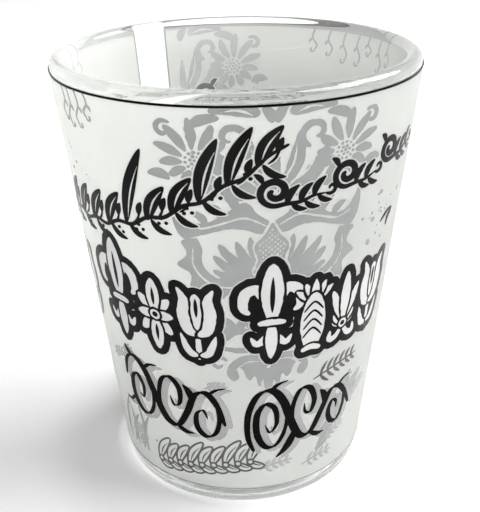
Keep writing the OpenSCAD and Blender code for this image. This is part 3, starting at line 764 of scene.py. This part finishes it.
def layers():
    """A field of signed distances for each print node."""
    rng = np.random.default_rng(7)
    vine_ink, vine_veins = vine()
    vines = np.maximum(ink(blank(), vine_ink), -ink(blank(), vine_veins, 16))
    first = spray((10.4, 49.0), 3, 1.75)
    second = spray((33.0, 50.0), 2, 1.7)
    third = spray((51.6, 51.4), 3, 1.6)
    swash = [leaf((53.0, 41.2), 24, 3.0, 0.3, 0.5, 1, 0.5), leaf((57.6, 40.2), 58, 2.4, 0.3, 0.6, 1, 0.5)]
    behind = [moved(s, 0, BACK_SPRAYS_DZ) for s in turns(first + third, BACK) + turns(first, SEAM)]
    sprays = ink(blank(), first + second + third + swash + behind)
    places = [(o[0] + t, *o[1:]) for t in (0, BACK) for o in BAND]
    places += [(o[0] + SEAM, *o[1:]) for o in BAND if o[0] > 0]
    white, ground, cores = bold_band(places)
    ground = rough(ground, 3)
    pen = turns(flourish_left() + flourish_right(), 0, BACK) + turns(flourish_right(), SEAM)
    flourishes = ink(blank(), pen, nib=NIB)
    black = np.minimum.reduce([vines, sprays, ground, flourishes, white])

    wide = [moved((pts, w + SHADOW_WIDER, *ends), SHADOW_DX, SHADOW_DZ) for pts, w, *ends in pen]
    shadows = np.maximum(ink(blank(), wide, 20, nib=NIB), SHADOW_GAP - black)
    clear = np.maximum(DAMASK_GAP - black, DAMASK_SHADOW_GAP - shadows)
    figures = np.maximum(rough(damask(DAMASKS), 5), clear)
    leaves = ink(garland(), sprig((28, 20.6), 10, 8.2, 0.3, 6), 12)
    fine = [s for at, direction, size in SPRIG_PLACES for s in sprig(at, direction, size)]
    fine += [s for a in TENDRIL_PLACES for s in tendril(rng, a)]
    sprigs = np.maximum(ink(blank(), fine, 14), THIN_GAP - np.minimum.reduce([black, shadows, leaves]))
    drops = np.maximum(ink(blank(), spatter(rng, SPATTER), 1), THIN_GAP - black)
    made = {
        "vine_scrolls": vines, "leaf_sprays": sprays, "ornament_outlines": ground, "ornament_cores": cores,
        "ornament_fills": np.maximum(white - FILL_SPREAD, -np.minimum(ground, cores)),
        "pen_flourishes": flourishes, "drop_shadows": shadows, "grey_damask": figures,
        "leaf_garland": np.maximum(leaves, THIN_GAP - np.minimum(black, shadows)),
        "fine_sprigs": sprigs, "ink_spatter": drops}
    return {node: clip(field) for node, field in made.items()}


# ---- From a distance field to a thin closed shell on the wall ----

# For each pattern of inside corners of a grid cell, the sides the outline enters and leaves by
CELL_PATHS = {1: [(0, 3)], 2: [(1, 0)], 3: [(1, 3)], 4: [(2, 1)], 5: [(0, 3), (2, 1)], 6: [(2, 0)],
              7: [(2, 3)], 8: [(3, 2)], 9: [(0, 2)], 10: [(1, 0), (3, 2)], 11: [(1, 2)], 12: [(3, 1)],
              13: [(0, 1)], 14: [(3, 0)]}
OUTLINE_TOLERANCE = 0.007
LONGEST_SIDE, MOST_STEPS = 0.8, 14
CLOSEST_POINTS = 0.012
SHORTEST_LOOP = 6
# Spacing of the points inside the ink, how far they keep from its edge, and where points merge
INSIDE_PITCH, INSIDE_MARGIN, MERGE = 0.9, 0.15, 1e-5


def outlines(field):
    """Closed loops of (s, z) in mm round every inked region."""
    rows, cols = field.shape
    inside = field < 0
    pattern = (inside[:-1, :-1] * 1 + inside[:-1, 1:] * 2 + inside[1:, 1:] * 4 + inside[1:, :-1] * 8)
    upright = rows * cols
    after = {}
    for case, paths in CELL_PATHS.items():
        j, i = np.nonzero(pattern == case)
        sides = (j * cols + i, upright + j * cols + i + 1, (j + 1) * cols + i, upright + j * cols + i)
        for enters, leaves in paths:
            after.update(zip(sides[enters].tolist(), sides[leaves].tolist()))

    def crossing(keys):
        up = keys >= upright
        j, i = np.divmod(np.where(up, keys - upright, keys), cols)
        near = field[j, i]
        far = field[np.where(up, j + 1, j), np.where(up, i, i + 1)]
        t = near / (near - far)
        return np.stack([GRID_S[0] + (i + np.where(up, 0, t)) * GRID_STEP,
                         GRID_Z[0] + (j + np.where(up, t, 0)) * GRID_STEP], 1)

    loops = []
    while after:
        first, key = after.popitem()
        keys = [first]
        while key != first:
            keys.append(key)
            key = after.pop(key)
        if len(keys) >= SHORTEST_LOOP:
            loops.append(thinned(crossing(np.array(keys))))
    return [loop for loop in loops if len(loop) > 2]


def thinned(points):
    """The loop with the points dropped that lie on a straight stretch."""
    kept, at = [0], 0
    while at < len(points) - 1:
        reach = at + 1
        for to in range(at + 2, min(at + MOST_STEPS, len(points))):
            run = points[to] - points[at]
            long = math.hypot(*run)
            if long > LONGEST_SIDE:
                break
            gap = points[at + 1:to] - points[at]
            off = np.abs(gap[:, 0] * run[1] - gap[:, 1] * run[0]) / max(long, TINY)
            if off.max() > OUTLINE_TOLERANCE:
                break
            reach = to
        at = reach
        kept.append(at)
    ring = points[kept]
    apart = np.hypot(*(ring - np.roll(ring, 1, 0)).T) > CLOSEST_POINTS
    return ring[apart]


def sample(field, points):
    """The field's value at places (s, z)."""
    x = (points[:, 0] - GRID_S[0]) / GRID_STEP
    y = (points[:, 1] - GRID_Z[0]) / GRID_STEP
    i = np.clip(x.astype(int), 0, field.shape[1] - 2)
    j = np.clip(y.astype(int), 0, field.shape[0] - 2)
    tx, ty = x - i, y - j
    return ((field[j, i] * (1 - tx) + field[j, i + 1] * tx) * (1 - ty)
            + (field[j + 1, i] * (1 - tx) + field[j + 1, i + 1] * tx) * ty)


def filled(field):
    """Points (s, z), inked triangles and their free edges."""
    verts, edges = [], []
    for loop in outlines(field):
        n, m = len(verts), len(loop)
        verts += loop.tolist()
        edges += [(n + k, n + (k + 1) % m) for k in range(m)]
    grid = np.stack(np.meshgrid(np.arange(GRID_S[0], GRID_S[-1], INSIDE_PITCH),
                                np.arange(GRID_Z[0], GRID_Z[-1], INSIDE_PITCH)), -1).reshape(-1, 2)
    verts += grid[sample(field, grid) < -INSIDE_MARGIN].tolist()
    got = delaunay_2d_cdt([Vector(v) for v in verts], edges, [], 0, MERGE, True)
    points = np.array([tuple(v) for v in got[0]])
    fixed = {tuple(sorted(e)) for e, source in zip(got[1], got[4]) if source}
    tris = np.array([f for f in got[2] if len(f) == 3])
    corners = points[tris]
    area = np.abs(np.cross(corners[:, 1] - corners[:, 0], corners[:, 2] - corners[:, 0])) / 2
    vote = sample(field, corners.mean(1)) * area
    group = list(range(len(tris)))

    def find(a):
        while group[a] != a:
            group[a] = group[group[a]]
            a = group[a]
        return a

    beside_edge = {}
    for k, (a, b, c) in enumerate(tris.tolist()):
        for e in ((a, b), (b, c), (c, a)):
            beside_edge.setdefault((min(e), max(e)), []).append(k)
    for e, both_sides in beside_edge.items():
        if e not in fixed and len(both_sides) == 2:
            group[find(both_sides[0])] = find(both_sides[1])
    roots = np.array([find(k) for k in range(len(tris))])
    total = np.zeros(len(tris))
    np.add.at(total, roots, vote)
    inked = total[roots] < 0
    free = [e for e, ks in beside_edge.items() if sum(inked[k] for k in ks) == 1]
    return points, tris[inked], free


def print_shell(name, field, lift, material, under, node):
    """One layer of ink as a closed shell, with the tone that shows through the glass on its inner face."""
    points, tris, free = filled(field)
    used, tris_new = np.unique(tris, return_inverse=True)
    tris_new = tris_new.reshape(-1, 3)
    where = {int(v): k for k, v in enumerate(used)}
    m = len(used)
    a = np.radians(points[used, 0] / DEG_MM)
    z = points[used, 1]
    verts = []
    for off in (lift, INK_IN):
        r = wall_r(z) + off
        verts.append(np.stack([r * np.sin(a), -r * np.cos(a), z], 1) * MM)
    faces = tris_new.tolist() + [(c + m, b + m, a0 + m) for a0, b, c in tris_new.tolist()]
    faces += [(where[e], where[f], where[f] + m, where[e] + m) for e, f in free]
    obj = make_object(name, np.concatenate(verts), faces, material)
    obj.data.materials.append(under)
    for face in obj.data.polygons[len(tris):2 * len(tris)]:
        face.material_index = 1
    stand_for(obj, node)


# ---- Materials ----

class Nodes:
    """Short names for building one material's nodes."""

    def __init__(self, name):
        self.material = bpy.data.materials.new(name)
        self.material.use_nodes = True
        self.tree = self.material.node_tree
        self.tree.nodes.clear()
        self.out = self.add("ShaderNodeOutputMaterial")

    def add(self, kind, inputs=None):
        """A node, each of its inputs linked or set to a value."""
        node = self.tree.nodes.new(kind)
        for key, value in (inputs or {}).items():
            if isinstance(value, bpy.types.NodeSocket):
                self.tree.links.new(value, node.inputs[key])
            else:
                node.inputs[key].default_value = value
        return node

    def noise(self, scale, detail):
        place = self.add("ShaderNodeTexCoord").outputs["Object"]
        settings = {"Vector": place, "Scale": scale, "Detail": detail, "Roughness": 0.5}
        return self.add("ShaderNodeTexNoise", settings).outputs["Fac"]

    def ramp(self, value, low, high, dark, light):
        node = self.add("ShaderNodeValToRGB", {"Fac": value})
        stops = node.color_ramp.elements
        stops[0].position, stops[0].color = low, (*dark, 1)
        stops[1].position, stops[1].color = high, (*light, 1)
        return node.outputs["Color"]

    def bump(self, height, strength, distance):
        settings = {"Height": height, "Strength": strength, "Distance": distance}
        return self.add("ShaderNodeBump", settings).outputs["Normal"]

    def mix(self, share, first, second):
        inputs = {"Fac": share, 1: first.outputs["BSDF"], 2: second.outputs["BSDF"]}
        return self.add("ShaderNodeMixShader", inputs).outputs["Shader"]

    def finish(self, shader):
        self.tree.links.new(shader, self.out.inputs["Surface"])
        return self.material


def glass_material():
    """Clear glass that lets lamps light what is behind it."""
    n = Nodes("clear_glass")
    shell = n.add("ShaderNodeBsdfPrincipled", {
        "Base Color": (0.985, 0.995, 0.985, 1), "Roughness": 0.0, "IOR": 1.5, "Transmission Weight": 0.88,
        "Normal": n.bump(n.noise(60, 2), 0.05, 0.0004)})
    through = n.add("ShaderNodeBsdfTransparent", {"Color": (0.98, 0.985, 0.98, 1)})
    shadow = n.add("ShaderNodeLightPath").outputs["Is Shadow Ray"]
    return n.finish(n.mix(shadow, shell, through))


def ink_material(name, dark, light, specular, rough=0.14):
    """Fired ink with a slightly cloudy tone and a fine grain."""
    n = Nodes(name)
    colour = n.ramp(n.noise(220, 4), 0.35, 0.68, dark, light)
    shade = n.add("ShaderNodeBsdfPrincipled", {
        "Base Color": colour, "Roughness": rough, "Specular IOR Level": specular,
        "Normal": n.bump(n.noise(900, 2), 0.12, 0.00004)})
    return n.finish(shade.outputs["BSDF"])


def coat_material():
    """The white coat, which lets about half of the light through."""
    n = Nodes("white_print")
    colour = n.ramp(n.noise(140, 4), 0.3, 0.7, COAT_DARK, COAT_LIGHT)
    dimple = n.bump(n.noise(1500, 2), 0.1, 0.00003)
    face = n.add("ShaderNodeBsdfPrincipled", {
        "Base Color": colour, "Roughness": 0.12, "Specular IOR Level": 0.3, "Normal": dimple})
    through = n.add("ShaderNodeBsdfTranslucent", {"Color": colour})
    return n.finish(n.mix(COAT_THROUGH, face, through))


# ---- Pieces ----

def glass_profile():
    """Half section of the glass: heel, outer wall, rim, inner wall, floor, hollow and foot ring."""
    heel = (wall_r(HEEL_ROUND) - HEEL_ROUND / math.cos(LEAN), HEEL_ROUND)
    rim = (RIM_R, RIM_Z)
    inside = (FLOOR_R + math.tan(INNER_LEAN) * FLOOR_ROUND - FLOOR_ROUND / math.cos(INNER_LEAN),
              FLOOR_T + FLOOR_ROUND)
    lean, inner = math.degrees(LEAN), math.degrees(INNER_LEAN)
    hollow_r = heel[0] - FOOT_RING
    dome_r = (hollow_r ** 2 + HOLLOW_H ** 2) / (2 * HOLLOW_H)
    edge = math.degrees(math.asin(hollow_r / dome_r))
    outer = arc(heel, HEEL_ROUND, -90, -lean, 10) + arc(rim, RIM_ROUND, -lean, 180 - inner, 28)
    cup = arc(inside, FLOOR_ROUND, -inner, -90, 14)
    cup += [(inside[0] * f, FLOOR_T) for f in (0.75, 0.5, 0.25, 0.02)]
    under = arc((0, HOLLOW_H - dome_r), dome_r, 89.9, 90 - edge, 16)
    return outer + cup + under + [(hollow_r + FOOT_RING * f, 0) for f in (0.33, 0.67)]


def band(z0, z1, lift0, lift1, rows=1):
    """Outline of a conical skin between two heights and two lifts off the wall."""
    up = [(wall_r(z0 + (z1 - z0) * k / rows) + lift1, z0 + (z1 - z0) * k / rows) for k in range(rows + 1)]
    down = [(wall_r(z1 + (z0 - z1) * k / rows) + lift0, z1 + (z0 - z1) * k / rows) for k in range(rows + 1)]
    return up + down


COAT_DARK, COAT_LIGHT, COAT_THROUGH = (0.845, 0.855, 0.83), (0.88, 0.89, 0.865), 0.55
COAT_START, COAT_SWEEP = SEAM_START + SEAM_WIDTH, 360 - SEAM_WIDTH
make_camera()
glass = glass_material()
white = coat_material()
black = ink_material("black_ink", (0.003, 0.003, 0.003), (0.009, 0.009, 0.01), 0.06)
deep = ink_material("deep_black_ink", (0.001, 0.001, 0.001), (0.003, 0.003, 0.003), 0.03)
dark_grey = ink_material("dark_grey_ink", (0.07, 0.07, 0.07), (0.12, 0.12, 0.12), 0.15)
grey = ink_material("grey_ink", (0.255, 0.262, 0.258), (0.295, 0.302, 0.297), 0.25)
pale = ink_material("pale_grey_ink", (0.29, 0.295, 0.29), (0.34, 0.345, 0.34), 0.25)
soft = ink_material("soft_grey_ink", (0.30, 0.305, 0.30), (0.38, 0.385, 0.38), 0.25)
opaque = ink_material("opaque_white_ink", (0.53, 0.535, 0.525), (0.58, 0.585, 0.575), 0.3)
# Seen through the glass and the coat, an ink is paler
black_under = ink_material("black_ink_underside", (0.07, 0.07, 0.07), (0.11, 0.11, 0.11), 0.2, 0.5)
grey_under = ink_material("grey_ink_underside", (0.42, 0.425, 0.42), (0.48, 0.485, 0.48), 0.2, 0.5)

stand_for(lathe("pressed_glass", glass_profile(), glass), "glass_body")
coat_band = band(PRINT_LOW, PRINT_TOP, COAT_IN, COAT_OUT, 12)
stand_for(lathe("print_coat", coat_band, white, COAT_START, COAT_SWEEP), "white_coat")


def top_line():
    """The black line along the upper edge, grey on the faces seen through the glass."""
    outline = band(PRINT_TOP - TOP_LINE_W, PRINT_TOP, INK_IN, TOP_LINE_OUT)
    obj = lathe("print_top_line", outline, deep, COAT_START, COAT_SWEEP)
    obj.data.materials.append(grey_under)
    for face in obj.data.polygons:
        if face.center.xy.dot(face.normal.xy) < 0:
            face.material_index = 1
    return obj


def edge_line():
    """The grey line along the foot of the print and up both sides of the seam, as one piece."""
    turn = EDGE_LINE_W / (wall_r(HEIGHT / 2) * math.pi / 180)
    foot = band(PRINT_LOW, PRINT_LOW + EDGE_LINE_W, EDGE_LINE_IN, EDGE_LINE_OUT)
    side = band(PRINT_LOW + EDGE_LINE_W, PRINT_TOP - TOP_LINE_W, INK_IN, EDGE_LINE_OUT)
    parts = [lathe("print_edge_line", foot, grey, COAT_START, COAT_SWEEP)]
    parts += [lathe("side", side, grey, start, turn, steps=2)
              for start in (COAT_START, COAT_START + COAT_SWEEP - turn)]
    with bpy.context.temp_override(active_object=parts[0], selected_editable_objects=parts):
        bpy.ops.object.join()
    return parts[0]


stand_for(top_line(), "top_line")
stand_for(edge_line(), "edge_line")
LAYERS = layers()
# (node, how far its ink stands off the glass, ink, ink's inner face, slot)
for node, lift, material, under, slot in (
        ("grey_damask", 0.120, grey, grey_under, "grey_ink"),
        ("fine_sprigs", 0.120, soft, grey_under, "pale_grey_ink"),
        ("drop_shadows", 0.125, pale, white, "pale_grey_ink"),
        ("ornament_fills", 0.125, opaque, white, "opaque_white_ink"),
        ("leaf_garland", 0.125, dark_grey, grey_under, "grey_ink"),
        ("ink_spatter", 0.125, grey, grey_under, "grey_ink"),
        ("vine_scrolls", 0.140, black, black_under, "black_ink"),
        ("leaf_sprays", 0.140, black, black_under, "black_ink"),
        ("ornament_outlines", 0.140, black, black_under, "black_ink"),
        ("ornament_cores", 0.145, black, black_under, "black_ink"),
        ("pen_flourishes", 0.140, deep, black_under, "black_ink")):
    print_shell("print_" + node, LAYERS[node], lift, material, under, node)


# ---- Floor, world and lights ----

def stage(half=3.0):
    """A plain white floor, half its width in m."""
    n = Nodes("floor")
    colour = n.ramp(n.noise(3, 2), 0.3, 0.7, (0.90, 0.90, 0.90), (0.92, 0.92, 0.92))
    settings = {"Base Color": colour, "Roughness": 0.9, "Specular IOR Level": 0.1}
    material = n.finish(n.add("ShaderNodeBsdfPrincipled", settings).outputs["BSDF"])
    mesh = bpy.data.meshes.new("floor")
    mesh.from_pydata([(-half, -half, 0), (half, -half, 0), (half, half, 0), (-half, half, 0)], [],
                     [(0, 1, 2, 3)])
    mesh.materials.append(material)
    floor = bpy.data.objects.new("floor", mesh)
    bpy.context.collection.objects.link(floor)


def area_light(name, place, aim, size, power, shine=True):
    """A round lamp at place, turned to aim. Without shine it shows in no reflection."""
    data = bpy.data.lights.new(name, "AREA")
    data.shape = "DISK"
    data.size = size
    data.energy = power
    lamp = bpy.data.objects.new(name, data)
    lamp.visible_glossy = shine
    lamp.location = place
    lamp.rotation_euler = (Vector(aim) - Vector(place)).to_track_quat("-Z", "Y").to_euler()
    bpy.context.collection.objects.link(lamp)


def studio_world():
    """A plain white surround, brighter near the horizon than overhead."""
    world = bpy.data.worlds.new("studio")
    world.use_nodes = True
    tree = world.node_tree
    place = tree.nodes.new("ShaderNodeTexCoord")
    split = tree.nodes.new("ShaderNodeSeparateXYZ")
    tree.links.new(place.outputs["Generated"], split.inputs["Vector"])
    ramp = tree.nodes.new("ShaderNodeValToRGB")
    ramp.color_ramp.elements[0].position, ramp.color_ramp.elements[0].color = 0.05, (1, 1, 1, 1)
    ramp.color_ramp.elements[1].position, ramp.color_ramp.elements[1].color = 0.75, (0, 0, 0, 1)
    tree.links.new(split.outputs["Z"], ramp.inputs["Fac"])
    back = tree.nodes["Background"]
    tree.links.new(ramp.outputs["Color"], back.inputs["Color"])
    back.inputs["Strength"].default_value = 1.2
    bpy.context.scene.world = world


def light():
    """Lamps on the right and in front, a weak low one on the left and a small one overhead, in m and W."""
    studio_world()
    aim = (0, 0, HEIGHT * MM / 2)
    area_light("key", (0.74, -0.10, 0.98), aim, 0.66, 9.3)
    area_light("back_key", (0.74, 0.45, 0.80), aim, 0.66, 7.8)
    area_light("front", (0.0, -0.75, 0.95), aim, 0.60, 4.9, shine=False)
    area_light("low_fill", (-0.75, -0.80, 0.12), aim, 0.50, 2.0, shine=False)
    area_light("overhead", (0.05, 0.05, 1.1), aim, 0.16, 1.9, shine=False)
    bpy.context.scene.view_settings.view_transform = "Standard"


stage()
light()
